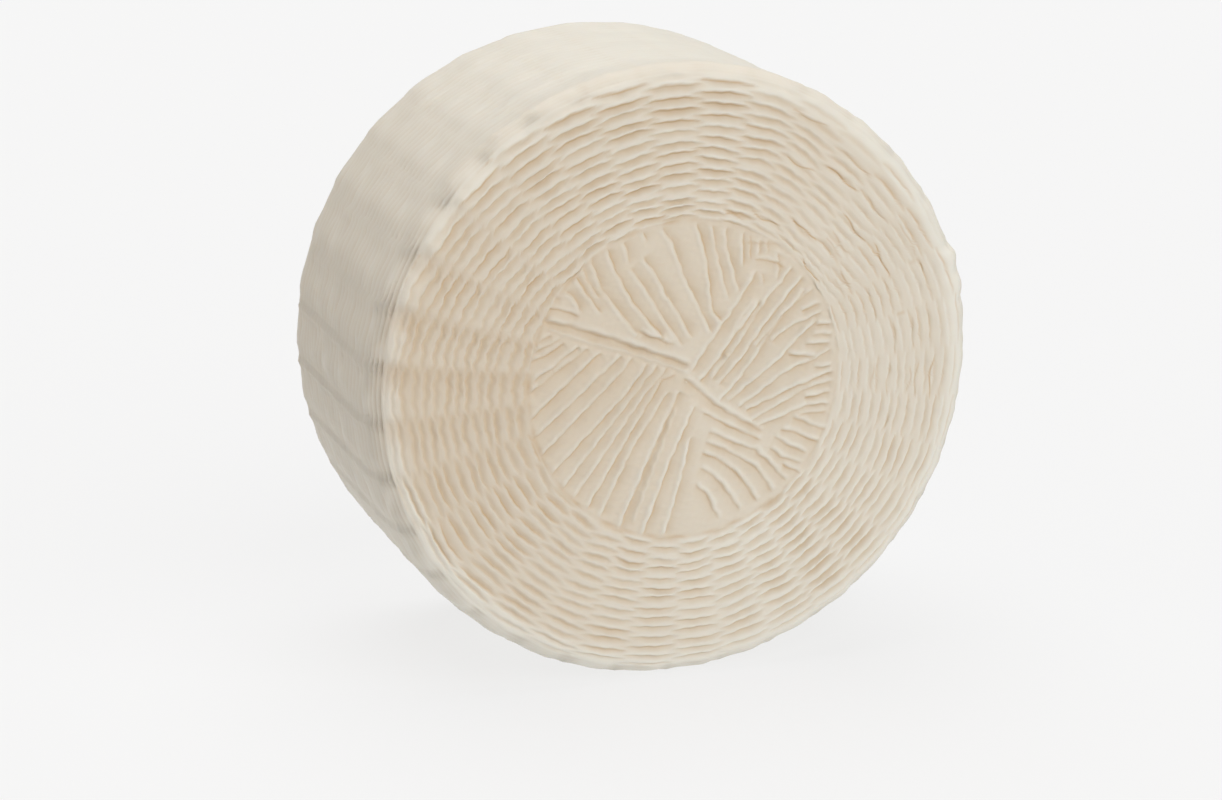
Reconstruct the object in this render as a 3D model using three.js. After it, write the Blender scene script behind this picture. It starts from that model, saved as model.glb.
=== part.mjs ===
// A whole wheel of fresh basket-moulded sheep's cheese, standing on its rim.
// Millimetres, +Z up. The woven front face looks along -Y and the wheel's axis lies close to Y.
//
// The wheel is one closed body. A place on its skin is an angle about the wheel's axis, taken
// anticlockwise from +X as seen from the front, and a station on the meridian, which runs out
// over the front face, round the corner, back along the rim and in over the back face. Each
// station is a ring of vertices, and relief moves a vertex along the skin's own normal.

import * as THREE from 'three';

// Wheel. The basket flares towards its mouth, so the back is wider than the woven front.
const FRONT_RADIUS = 102;
const BACK_RADIUS = 108;
const THICKNESS = 108;
const CORNER_RADIUS = 9;
const FOOT_CUT = 1.5;             // how much of the round rim is pressed flat by the weight
const UNEVENNESS = 0.4;           // slow swells of a hand-filled mould

// The weave on the front is a little off the wheel's axis.
const WEAVE_CENTRE_X = 1;
const WEAVE_CENTRE_Z = 1.5;

// Woven ring: brick-like grooves in rows, in columns between the basket's stakes.
const COLUMNS = 34;
const FIRST_COLUMN_DEG = 299.6;   // where a column begins
const VERTICES_PER_COLUMN = 3;
const ROW_PITCH = 3.44;
const RING_INNER_RADIUS = 53.2;
const ROWS = 12.5;
const GROOVE_DEPTH = 1.3;
const COLUMN_EDGE_LEVEL = -0.35;  // level between two columns, in groove depths
const WORN_SIDE_DEG = 22;         // grooves are shallow on this side, where the curd tore
const WORN_HALF_WIDTH_DEG = 42;
const WORN_LOSS = 0.6;            // share of the depth lost there
const LEANING_SIDE_DEG = 150;     // here each groove is deepest where its column begins
const LEANING_HALF_WIDTH_DEG = 38;
const LEAN = 0.3;
const CORNER_FADE_RADIUS = 93;    // the rows grow shallow as they go over the corner

// Plaited disc in the middle: four spokes with rush ridges fanned between them.
const DISC_LEVEL = -0.5;
const HUB_X = 1;
const HUB_Z = 0;
const SPOKES_DEG = [57, 152, 242, 326];
const SPOKE_HALF_WIDTH = 2.6;
const SPOKE_GROOVE_DEPTH = 1.3;
const SPOKE_GROOVE_WIDTH = 2.4;
const RIDGE_DEPTH = 1.2;
const RIDGE_FADE_LENGTH = 6;      // the ridges start at nothing round the hub

// Each fan of ridges fills the sector that starts at the spoke of the same number.
// Its ridges radiate from (x, z), stepDeg apart.
const FANS = [
  { x: 28, z: -24, stepDeg: 3.9 },
  { x: 12, z: 44, stepDeg: 3.7 },
  { x: -2, z: -5, stepDeg: 6.2 },
  { x: -10, z: -23, stepDeg: 4.2 },
];

// Rim: shallow flutes left by the stakes, and a torn flake at the front corner.
const FLUTE_DEPTH = 0.7;
const FLAKE_FROM_DEG = 13.5;
const FLAKE_TO_DEG = 24.5;
const FLAKE_HEIGHT = 1.8;

// Back face, a coarser print of the same weave.
const BACK_DISC_RADIUS = 56;
const BACK_GROOVE_DEPTH = 0.8;

const RAD = Math.PI / 180;
const TAPER = Math.atan2(BACK_RADIUS - FRONT_RADIUS, THICKNESS);
const RING_SIDES = COLUMNS * VERTICES_PER_COLUMN;
const HALF_ROW = ROW_PITCH / 2;
const FRONT_FLAT_RADIUS = FRONT_RADIUS - CORNER_RADIUS;
const BACK_FLAT_RADIUS = BACK_RADIUS - CORNER_RADIUS;

// Rings of the disc, from the centre out: radius and number of sides.
const DISC_RINGS = [
  ...[4, 8, 12].map((radius) => ({ radius, sides: RING_SIDES / 2 })),
  ...[16, 20, 24, 28].map((radius) => ({ radius, sides: RING_SIDES })),
  ...[32, 36.5, 41, 45.5, 49.5, 52].map((radius) => ({ radius, sides: RING_SIDES * 2 })),
];

// Turns of the normal round each corner, from the face's direction towards the rim's.
const FRONT_CORNER_STEPS_DEG = [38, 58, 90 - TAPER / RAD];
const BACK_CORNER_STEPS_DEG = [90 - TAPER / RAD, 120, 150, 180];
const RIM_STEPS = [1 / 3, 2 / 3];
const BACK_RINGS = [
  { radius: 90, sides: RING_SIDES },
  { radius: 78, sides: RING_SIDES },
  { radius: 67, sides: RING_SIDES },
  { radius: BACK_DISC_RADIUS, sides: RING_SIDES },
  { radius: 28, sides: RING_SIDES / 2 },
];

// 1 at the middle angle, easing to 0 at half a width away.
function bump(angleDeg, middleDeg, halfWidthDeg) {
  const away = Math.abs(((angleDeg - middleDeg + 540) % 360) - 180) / halfWidthDeg;
  return away >= 1 ? 0 : 0.5 + 0.5 * Math.cos(Math.PI * away);
}

// Slow swells of the whole skin.
function swell(angleDeg, along) {
  const a = angleDeg * RAD;
  return UNEVENNESS * (Math.sin(2 * a + 0.7) * 0.6 + Math.sin(5 * a + along / 31) * 0.4);
}

// Depth of a groove at this angle, as a share of the full depth.
function grooveShare(angleDeg, columnPart) {
  const worn = 1 - WORN_LOSS * bump(angleDeg, WORN_SIDE_DEG, WORN_HALF_WIDTH_DEG);
  const lean = LEAN * bump(angleDeg, LEANING_SIDE_DEG, LEANING_HALF_WIDTH_DEG);
  return worn * (1 + lean * (1 - 2 * columnPart));
}

// Height of a vertex of the woven ring. Rows step by half a pitch, and a groove in one
// column meets a ridge in the next, as bricks do.
function weaveHeight(halfRow, side, angleDeg, radius) {
  const column = Math.floor(side / VERTICES_PER_COLUMN);
  const columnPart = (side % VERTICES_PER_COLUMN) / VERTICES_PER_COLUMN;
  const overCorner = Math.max(0, radius - CORNER_FADE_RADIUS) / CORNER_RADIUS;
  const depth = GROOVE_DEPTH * grooveShare(angleDeg, columnPart) * (1 - overCorner);
  if (columnPart === 0) return COLUMN_EDGE_LEVEL * depth;
  const isGroove = (halfRow + column) % 2 === 0;
  return isGroove ? -depth : 0;
}

// Cosine ridges radiating from a fan's centre.
function fanHeight(fan, x, z) {
  const turn = Math.atan2(z - fan.z, x - fan.x) / RAD / fan.stepDeg;
  return RIDGE_DEPTH * (0.5 * Math.cos(2 * Math.PI * turn) - 0.5);
}

// Height of the plaited disc at (x, z), measured from the weave's centre: a raised spoke with
// a groove on each side, or else the ridges of the sector's fan.
function discHeight(x, z) {
  const fromHubX = x - HUB_X;
  const fromHubZ = z - HUB_Z;
  const reach = Math.hypot(fromHubX, fromHubZ);
  const angleDeg = (Math.atan2(fromHubZ, fromHubX) / RAD + 360) % 360;
  let across = Infinity;
  for (const spokeDeg of SPOKES_DEG) {
    const turn = (angleDeg - spokeDeg) * RAD;
    if (Math.cos(turn) > 0) across = Math.min(across, Math.abs(reach * Math.sin(turn)));
  }
  if (across < SPOKE_HALF_WIDTH) return 0;
  const pastRib = across - SPOKE_HALF_WIDTH;
  if (pastRib < SPOKE_GROOVE_WIDTH) {
    return -SPOKE_GROOVE_DEPTH * Math.sin((Math.PI * pastRib) / SPOKE_GROOVE_WIDTH);
  }
  const behind = SPOKES_DEG.filter((spokeDeg) => spokeDeg <= angleDeg).length - 1;
  const sector = (behind + SPOKES_DEG.length) % SPOKES_DEG.length;
  const fade = Math.min(1, reach / RIDGE_FADE_LENGTH);
  return fade * fanHeight(FANS[sector], x, z);
}

// The point and outward normal of the front face, or of its corner, at a distance from the
// weave's centre measured along the skin.
function frontStation(distance) {
  if (distance <= FRONT_FLAT_RADIUS) {
    return { radius: distance, depth: 0, normalRadius: 0, normalDepth: -1 };
  }
  return cornerStation(((distance - FRONT_FLAT_RADIUS) / CORNER_RADIUS) / RAD, false);
}

// The point and outward normal on a corner, where the normal has turned by turnDeg from the
// front face's direction.
function cornerStation(turnDeg, isBack) {
  const middleRadius = (isBack ? BACK_RADIUS : FRONT_RADIUS) - CORNER_RADIUS;
  const middleDepth = isBack ? THICKNESS - CORNER_RADIUS : CORNER_RADIUS;
  const normalRadius = Math.sin(turnDeg * RAD);
  const normalDepth = -Math.cos(turnDeg * RAD);
  return {
    radius: middleRadius + CORNER_RADIUS * normalRadius,
    depth: middleDepth + CORNER_RADIUS * normalDepth,
    normalRadius,
    normalDepth,
  };
}

// The point and outward normal on the straight rim, between the ends of the two corners.
function rimStation(part) {
  const front = cornerStation(90 - TAPER / RAD, false);
  const back = cornerStation(90 - TAPER / RAD, true);
  return {
    radius: front.radius + part * (back.radius - front.radius),
    depth: front.depth + part * (back.depth - front.depth),
    normalRadius: front.normalRadius,
    normalDepth: front.normalDepth,
  };
}

// One ring of vertices at a station. heightAt(side, angleDeg) is the relief, and centring is
// how much of the weave's offset the ring takes: all on the face, none at the back.
function ringAt(station, sides, centring, heightAt) {
  return Array.from({ length: sides }, (_, side) => {
    const angleDeg = (FIRST_COLUMN_DEG + (360 * side) / sides) % 360;
    const height = heightAt(side, angleDeg);
    const radius = station.radius + height * station.normalRadius;
    return new THREE.Vector3(
      centring * WEAVE_CENTRE_X + radius * Math.cos(angleDeg * RAD),
      station.depth + height * station.normalDepth,
      centring * WEAVE_CENTRE_Z + radius * Math.sin(angleDeg * RAD),
    );
  });
}

// Rings of the plaited disc.
function discRings() {
  return DISC_RINGS.map(({ radius, sides }) => ringAt(frontStation(radius), sides, 1,
    (side, angleDeg) => DISC_LEVEL + discHeight(
      radius * Math.cos(angleDeg * RAD),
      radius * Math.sin(angleDeg * RAD),
    )));
}

// Rings of the woven ring, two to each row.
function weaveRings() {
  return Array.from({ length: 2 * ROWS + 1 }, (_, halfRow) => {
    const distance = RING_INNER_RADIUS + halfRow * HALF_ROW;
    return ringAt(frontStation(distance), RING_SIDES, 1,
      (side, angleDeg) => swell(angleDeg, 0) + weaveHeight(halfRow, side, angleDeg, distance));
  });
}

// Flute of the rim: high in the middle of a column and low between two.
function fluteHeight(side) {
  return side % VERTICES_PER_COLUMN === 0 ? -FLUTE_DEPTH : 0;
}

// Torn flake standing up at the front corner.
function flakeHeight(angleDeg) {
  return angleDeg > FLAKE_FROM_DEG && angleDeg < FLAKE_TO_DEG ? FLAKE_HEIGHT : 0;
}

// Rings of the front corner, the rim and the back corner.
function rimRings() {
  const relief = (along) => (side, angleDeg) => swell(angleDeg, along) + fluteHeight(side);
  const front = FRONT_CORNER_STEPS_DEG.map((turnDeg, step) => ringAt(
    cornerStation(turnDeg, false), RING_SIDES, 1 - step / FRONT_CORNER_STEPS_DEG.length,
    (side, angleDeg) => relief(0)(side, angleDeg) + (step < 2 ? flakeHeight(angleDeg) : 0),
  ));
  const rim = RIM_STEPS.map((part) => ringAt(
    rimStation(part), RING_SIDES, 0, relief(part * THICKNESS),
  ));
  const back = BACK_CORNER_STEPS_DEG.map((turnDeg) => ringAt(
    cornerStation(turnDeg, true), RING_SIDES, 0, relief(THICKNESS),
  ));
  return [...front, ...rim, ...back];
}

// Rings of the back face. Grooves alternate from ring to ring and from column to column.
function backRings() {
  return BACK_RINGS.map(({ radius, sides }, ringNumber) => {
    const station = { radius, depth: THICKNESS, normalRadius: 0, normalDepth: 1 };
    const perColumn = sides / COLUMNS;
    return ringAt(station, sides, 0, (side, angleDeg) => {
      const isGroove = (Math.floor(side / perColumn) + ringNumber) % 2 === 0;
      return swell(angleDeg, THICKNESS) - (isGroove ? BACK_GROOVE_DEPTH : 0);
    });
  });
}

// Triangles between two rings that follow each other on the meridian. The rings have the same
// number of sides, or one has twice as many as the other.
function stitch(first, second, addTriangle) {
  const sides = Math.min(first.length, second.length);
  for (let side = 0; side < sides; side += 1) {
    const next = (side + 1) % sides;
    const firstNext = (2 * side + 2) % first.length;
    const secondNext = (2 * side + 2) % second.length;
    if (first.length === second.length) {
      addTriangle(first[side], second[side], second[next]);
      addTriangle(first[side], second[next], first[next]);
    } else if (first.length < second.length) {
      addTriangle(first[side], second[2 * side], second[2 * side + 1]);
      addTriangle(first[side], second[2 * side + 1], first[next]);
      addTriangle(first[next], second[2 * side + 1], second[secondNext]);
    } else {
      addTriangle(first[2 * side], second[side], first[2 * side + 1]);
      addTriangle(first[2 * side + 1], second[side], second[next]);
      addTriangle(first[2 * side + 1], second[next], first[firstNext]);
    }
  }
}

// Fans that close the meridian at its two ends.
function closeEnds(rings, frontMiddle, backMiddle, addTriangle) {
  const firstRing = rings[0];
  const lastRing = rings[rings.length - 1];
  firstRing.forEach((point, side) => {
    addTriangle(frontMiddle, point, firstRing[(side + 1) % firstRing.length]);
  });
  lastRing.forEach((point, side) => {
    addTriangle(point, backMiddle, lastRing[(side + 1) % lastRing.length]);
  });
}

// Leans the wheel so that its flaring rim lies level, and presses its foot flat.
function standOnRim(points) {
  const lowest = -FRONT_RADIUS * Math.cos(TAPER);
  for (const point of points) {
    point.applyAxisAngle(new THREE.Vector3(1, 0, 0), TAPER);
    point.z = Math.max(point.z, lowest + FOOT_CUT);
  }
}

// The whole wheel as one closed geometry, its origin under the middle of its box.
function wheelGeometry() {
  const rings = [...discRings(), ...weaveRings(), ...rimRings(), ...backRings()];
  const frontMiddle = new THREE.Vector3(WEAVE_CENTRE_X, -DISC_LEVEL, WEAVE_CENTRE_Z);
  const backMiddle = new THREE.Vector3(0, THICKNESS, 0);
  standOnRim([...rings.flat(), frontMiddle, backMiddle]);
  const positions = [];
  const addTriangle = (...corners) => {
    for (const corner of corners) positions.push(corner.x, corner.y, corner.z);
  };
  for (let step = 1; step < rings.length; step += 1) {
    stitch(rings[step - 1], rings[step], addTriangle);
  }
  closeEnds(rings, frontMiddle, backMiddle, addTriangle);
  const geometry = new THREE.BufferGeometry();
  geometry.setAttribute('position', new THREE.Float32BufferAttribute(positions, 3));
  geometry.computeVertexNormals();
  geometry.computeBoundingBox();
  const box = geometry.boundingBox;
  const middle = box.getCenter(new THREE.Vector3());
  geometry.translate(-middle.x, -middle.y, -box.min.z);
  return geometry;
}

const rind = new THREE.MeshStandardMaterial({ color: 0xddd6c8, roughness: 0.55, metalness: 0 });
const wheel = new THREE.Mesh(wheelGeometry(), rind);
wheel.name = 'cheese_wheel';

const cheese = new THREE.Group();
cheese.add(wheel);

export default cheese;
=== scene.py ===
"""A whole wheel of fresh basket-moulded sheep's cheese, standing on its rim.

The wheel is one closed skin. A place on it is an angle about the wheel's axis, anticlockwise from +X
as seen from the front, and a run along the meridian in millimetres: out over the front face, round the
corner, back along the rim and in over the back. The skin is made of rings, each at its own runs, and
relief moves a ring's points along the skin's normal. Sizes are in millimetres until the mesh is made.
"""

import math

import bpy
import numpy as np
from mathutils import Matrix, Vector


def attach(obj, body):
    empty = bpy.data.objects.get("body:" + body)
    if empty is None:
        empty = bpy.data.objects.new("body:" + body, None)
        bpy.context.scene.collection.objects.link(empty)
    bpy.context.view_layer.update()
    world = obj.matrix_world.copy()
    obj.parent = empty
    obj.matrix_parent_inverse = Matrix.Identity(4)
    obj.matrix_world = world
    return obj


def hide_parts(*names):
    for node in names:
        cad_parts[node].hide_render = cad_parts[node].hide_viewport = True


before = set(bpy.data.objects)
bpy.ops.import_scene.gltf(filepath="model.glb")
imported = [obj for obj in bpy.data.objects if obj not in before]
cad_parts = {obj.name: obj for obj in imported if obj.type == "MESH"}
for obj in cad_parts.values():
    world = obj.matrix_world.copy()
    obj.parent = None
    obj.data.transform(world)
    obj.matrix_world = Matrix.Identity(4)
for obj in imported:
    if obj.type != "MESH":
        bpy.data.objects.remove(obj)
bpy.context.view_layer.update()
WHEEL_NODE = "cheese_wheel"
MM = 0.001
TURN = 2 * math.pi

# The wheel, as the solid in the frame has it. The basket flares, so the back is wider.
FRONT_RADIUS = 102.0
BACK_RADIUS = 108.0
THICKNESS = 108.0
CORNER_RADIUS = 9.0
FOOT_CUT = 1.5
UNEVENNESS = 0.4
TAPER = math.atan2(BACK_RADIUS - FRONT_RADIUS, THICKNESS)
WEAVE_CENTRE = np.array([1.0, 1.5])   # of the face's print, from the wheel's axis
AXIS_X = 0.048              # where the wheel's axis meets the plane of its front face
AXIS_Y = -54.059

# Runs along the meridian.
FRONT_FLAT = FRONT_RADIUS - CORNER_RADIUS
BACK_FLAT = BACK_RADIUS - CORNER_RADIUS
RIM_TURN = math.pi / 2 - TAPER
RIM_START = FRONT_FLAT + CORNER_RADIUS * RIM_TURN
RIM_LENGTH = math.hypot(BACK_RADIUS - FRONT_RADIUS, THICKNESS - 2 * CORNER_RADIUS)
RIM_END = RIM_START + RIM_LENGTH
BACK_START = RIM_END + CORNER_RADIUS * (math.pi - RIM_TURN)

# Woven ring: rows of brick-like grooves, in columns between the basket's stakes.
COLUMNS = 34
FIRST_COLUMN = math.radians(300.8)
ROW_PITCH = 3.44
RING_INNER = 53.4
ROWS = 13
RINGS_PER_ROW = 8
FACING = math.radians(148)  # the crisper wall of a groove is the one on this side
GROOVE_DEPTH = 0.8
HALF_GROOVE = 0.41          # rows from a groove's foot to its edge where both walls are alike
CRISP_WALL = 0.27           # rows by which a crisp wall is narrower
GENTLE_WALL = 0.28          # and the one across from it wider
CREST_AT = 0.44             # rows from the foot to the crest, less what a crisp wall is narrower by
CREST_WIDTH = 0.13
CREST_SHARE = 0.15          # of the groove's depth
GAP_HOLLOW = 0.36           # where no groove reaches
TEAR_WIDTH = 0.09
TEAR_DEPTH = 0.18
TIP_REACH = 0.1             # columns that a groove's tips reach in between those beside
LENS_POWER = 0.62

# Parts of the turn where the woven ring differs, as a middle and a half width in degrees.
WORN = (20, 55)             # grooves are bowed and torn
NARROW = (12, 65)           # grooves are narrower
LATE_START = (15, 75)       # the first row is shallow
LONG_TIPS = (98, 60)        # tips reach further
LEFT_LEAN = (162, 44)       # bricks lean like shingles
LEFT_RIPPLE = (165, 50)     # grooves ripple more
LEFT_FADE = (168, 46)       # grooves start at once and fade
LEFT_SOFT = (180, 42)       # walls are more alike
UNTORN = (300, 50)
LESS_TORN_RIGHT = (5, 45)
LESS_TORN_LEFT = (180, 40)

# By degrees about the axis: how far outwards the rows have slipped, in rows, how they slope across a
# column, how tan the face is, how much painted shade lies on it, and how deep the rows are. The basket
# isn't quite round, and both sides of the face are worn.
ROW_SLIP = [
    (0, -0.32), (20, -0.2), (30, -0.52), (41, -0.82), (52, -0.78), (62, -0.56), (72, -0.23),
    (94, -0.27), (115, -0.26), (126, -0.26), (137, -0.17), (147, -0.1), (156, -0.1), (168, 0.3),
    (188, 0.45), (245, 0.1), (305, -0.1), (337, 0.16), (349, 0),
]
ROW_SLOPE = [
    (0, 0), (14, -0.2), (30, -0.28), (41, -0.1), (62, 0.08), (75, 0), (105, -0.04), (116, 0.1),
    (126, 0.22), (137, 0.3), (147, 0.38), (158, 0.5), (170, 0.12), (185, 0),
]
BASE_TAN = [
    (0, 0.24), (60, 0.38), (80, 0.28), (115, 0.28), (150, 0.26), (180, 0.24), (240, 0.14), (300, 0.06),
    (330, 0.2),
]
# This table is painted shade: the face is drawn greyer, most on the left.
PAINTED_SHADE = [
    (0, 0.2), (20, 0.22), (60, 0.12), (110, 0.13), (150, 0.42), (175, 0.6), (200, 0.55), (240, 0.3),
    (290, 0.05), (330, 0.1),
]
ROW_DEPTH = [
    (0, 0.42), (20, 0.36), (31, 0.46), (41, 0.56), (52, 0.62), (62, 0.74), (72, 1.1), (94, 1.2),
    (105, 1.3), (116, 1.25), (126, 1.25), (137, 1.15), (147, 1.1), (158, 1.15), (168, 1.1), (190, 1.1),
    (220, 1), (285, 1.1), (305, 1.4), (317, 1.35), (327, 0.9), (338, 0.75), (349, 0.55),
]

# Plaited disc.
DISC_RADIUS = 52.75
DISC_LEVEL = -0.55
DISC_STEP = 0.585           # between rings, and the next between a ring's points
DISC_POINT_STEP = DISC_STEP * 1.02
DISC_EDGE = 1.4             # width of the torn line round the disc
DISC_TAN = 0.53
RAISED = (8, 95)            # where the disc lies higher at its edge, in degrees as above
WHOLE_EDGE = (10, 85)       # and where its edge isn't torn
PIMPLE = (14.5, 9.5)        # a small round drop of curd
PIMPLE_RADIUS = 0.85

# Corner and rim: rings printed by the basket's side, and a shallow flute for each stake.
RIM_RING_PITCH = 3.76
RINGS_PER_RIM_PRINT = 2
RIM_RING_HEIGHT = 0.19
FLUTE_HEIGHT = 0.42
SCALLOP_HEIGHT = 1.25
FLAKE_HEIGHT = 1.9
# Parts of the turn where the rim differs, in degrees as above.
FLUTES_LOW = (88, 50)
FLUTES_HIGH = (165, 40)
FLUTES_LATE = (160, 50)     # flutes grow slowly behind the corner
SCALLOPED = (158, 46)
PRINT_FAINT = (84, 44)
PRINT_STRONG = (172, 62)
PRINT_SHADE = (172, 60)
# And where painted shade lies on the skin.
SHADE_STREAKS = (170, 52)
SHADE_CORNER = (168, 52)
SHADE_RIM = (170, 70)
SHADE_TOP = (92, 70)
SHADE_EDGE = (174, 42)

# Back: the same kind of print, plainer.
BACK_DISC_RADIUS = 56.0
BACK_DEPTH = 1.0
BACK_DISC_LEVEL = -0.35
BACK_RUSH_DEPTH = 0.9
BACK_RUSH_PITCH = 4.6

SEED = 34                   # each uneven field adds its own number


# --- small helpers ---

def rise(low, high, x):
    """0 below low, 1 above high, and 3x^2 - 2x^3 between."""
    part = np.clip((x - low) / (high - low), 0.0, 1.0)
    return part * part * (3 - 2 * part)


def near(angle, middle_deg, half_deg):
    """1 at the middle angle, falling as a raised cosine to 0 half_deg away, around the turn."""
    away = np.abs((np.degrees(angle) - middle_deg + 540) % 360 - 180) / half_deg
    return np.where(away < 1, 0.5 + 0.5 * np.cos(np.pi * np.minimum(away, 1)), 0.0)


def around(angle, table):
    """A table's value at angles: straight between its entries, which are degrees and value, and on
    around the turn."""
    degrees, values = zip(*table)
    return np.interp(np.degrees(angle), degrees, values, period=360)


def bell(x, width):
    """exp(-(x / width)^2)."""
    return np.exp(-np.square(x / width))


def waves(x, y, length, seed, count=9):
    """Smooth uneven field: plane waves about one length long, in drawn directions and phases, added up
    and divided by the square root of their number, so that it mostly stays within -1 to 1."""
    draw = np.random.default_rng(seed)
    total = np.zeros(np.broadcast(x, y).shape)
    for _ in range(count):
        heading = draw.uniform(0, TURN)
        number = TURN / (length * draw.uniform(0.75, 1.5))
        total += np.sin(number * (x * np.cos(heading) + y * np.sin(heading)) + draw.uniform(0, TURN))
    return total / math.sqrt(count)


# --- the skin ---

def meridian(run):
    """Radius, depth behind the front plane, and outward normal at a run: a flat, an arc of the corner's
    radius, a straight flaring rim, a second arc and the back's flat."""
    corner_front = np.clip((run - FRONT_FLAT) / CORNER_RADIUS, 0, RIM_TURN)
    corner_back = RIM_TURN + np.clip((run - RIM_END) / CORNER_RADIUS, 0, math.pi - RIM_TURN)
    is_back = run > RIM_END
    turn = np.where(is_back, corner_back, corner_front)
    normal_out = np.sin(turn)
    normal_deep = -np.cos(turn)
    part = np.clip((run - RIM_START) / RIM_LENGTH, 0, 1)
    middle_radius = FRONT_FLAT + part * (BACK_FLAT - FRONT_FLAT)
    middle_depth = CORNER_RADIUS + part * (THICKNESS - 2 * CORNER_RADIUS)
    flat = np.minimum(run, FRONT_FLAT) - FRONT_FLAT - np.maximum(run - BACK_START, 0)
    radius = middle_radius + CORNER_RADIUS * normal_out + flat
    depth = middle_depth + CORNER_RADIUS * normal_deep
    return radius, depth, normal_out, normal_deep


def swell(angle, run):
    """Slow swells of a hand-filled mould, the same ones that the solid has: two sines about the axis, of
    two and five swells, of which the second turns on its way back along the rim."""
    along = np.clip(run - RIM_START, 0, THICKNESS)
    return UNEVENNESS * (0.6 * np.sin(2 * angle + 0.7) + 0.4 * np.sin(5 * angle + along / 31))


def place(angle, run, height):
    """Points of the skin at angles and runs, moved out by the height and still unleant. The weave's
    offset from the axis fades out between the front's edge and the rim."""
    radius, depth, normal_out, normal_deep = meridian(run)
    centring = 1 - rise(FRONT_FLAT + 3, RIM_START + 14, run)
    reach = radius + height * normal_out
    return np.stack([
        centring * WEAVE_CENTRE[0] + reach * np.cos(angle),
        depth + height * normal_deep,
        centring * WEAVE_CENTRE[1] + reach * np.sin(angle),
    ], axis=-1)


def stand(points):
    """Leans the wheel by its taper so that the flaring rim lies level, presses the foot flat, and moves
    it to its place in the frame."""
    cos, sin = math.cos(TAPER), math.sin(TAPER)
    x, y, z = points.T
    level = -FRONT_RADIUS * cos + FOOT_CUT
    leant_y = y * cos - z * sin
    leant_z = np.maximum(y * sin + z * cos, level)
    return np.stack([x + AXIS_X, leant_y + AXIS_Y, leant_z - level], axis=-1)


# --- woven ring ---

def ring_angles(sides):
    """Angles of a ring's points, from the first column's stake on."""
    return FIRST_COLUMN + TURN * np.arange(sides) / sides


def columns_of(angle):
    """Number of the column that each angle is in, and how far across it, from 0 to 1."""
    in_first = 1e-6             # keeps a point on a stake in the column that begins there
    turns = ((angle - FIRST_COLUMN) / TURN * COLUMNS + in_first) % COLUMNS
    column = np.floor(turns).astype(int)
    return column, turns - column


def from_stake(across):
    """How far the nearer stake is, in columns."""
    return np.minimum(across, 1 - across)


def saw(across):
    """Climbs evenly from 0 across a column and falls back to 0 in its last part."""
    return across - rise(0.82, 1.0, across)


def brick_draws():
    """One random draw for each brick and each way in which bricks differ, by column and slot. A brick's
    slot is one more than its row."""
    draw = np.random.default_rng(SEED)
    shape = (COLUMNS, ROWS + 4)
    return {
        "depth": draw.uniform(0.8, 1.2, shape),
        "start": draw.uniform(-0.04, 0.06, shape),
        "end": draw.uniform(-0.04, 0.06, shape),
        "lift": draw.uniform(-0.08, 0.08, shape),
        "slope": draw.uniform(-0.13, 0.13, shape),
        "bow": draw.uniform(-0.1, 0.14, shape),
        "phase": draw.uniform(0, TURN, shape),
        "torn": draw.uniform(0, 1, shape),
    }


BRICKS = brick_draws()


def brick_offset(angle, column, slot, across, worn):
    """How far a brick's groove lies outside its row, in rows: a lift, a slope along it, a bow and a
    ripple of two sines that is stronger where the curd tore."""
    phase = BRICKS["phase"][column, slot]
    ripple = np.sin(across * 9.5 + phase)
    ripple += 0.9 * np.sin(across * 21 + 2.7 * phase)
    strength = 0.03 + 0.09 * worn + 0.05 * near(angle, *LEFT_RIPPLE)
    slope = BRICKS["slope"][column, slot] + around(angle, ROW_SLOPE)
    bow = BRICKS["bow"][column, slot] - 0.3 * worn
    return (
        BRICKS["lift"][column, slot]
        + slope * (across - 0.5)
        + bow * (1 - 4 * np.square(across - 0.5))
        + strength * ripple
    )


def depth_along(angle, column, slot, across):
    """Share of its depth that a groove has along it, from 0 at its ends. It is a lens, a power of a
    sine, whose tips reach in between those of the next column. On the left a groove starts at once at
    its upper end instead and fades evenly towards its lower one."""
    start = BRICKS["start"][column, slot]
    end = 1 - BRICKS["end"][column, slot]
    reach = TIP_REACH + 0.07 * near(angle, *LONG_TIPS)
    part = np.clip((across - start + reach) / (end - start + 2 * reach), 0, 1)
    lens = np.power(np.sin(np.pi * part), LENS_POWER)
    fading = rise(-0.14, 0.12, across) * (1.12 - 0.5 * across) * rise(-0.16, 0.14, 1 - across)
    on_left = near(angle, *LEFT_FADE)
    return on_left * fading + (1 - on_left) * lens


def fall(distance, width):
    """1 at no distance, falling to 0 at the width: half straight, half 3x^2 - 2x^3."""
    part = np.clip(distance / width, 0, 1)
    return 1 - 0.5 * part - 0.5 * rise(0, 1, part)


def crispness(angle):
    """Which wall of a groove is the crisp one: 1 for the outer wall, -1 for the inner one. It is the
    cosine of the angle from FACING, steepened and cut off, and less on the left."""
    return np.clip(2.2 * np.cos(angle - FACING), -1, 1) * (1 - 0.65 * near(angle, *LEFT_SOFT))


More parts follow.
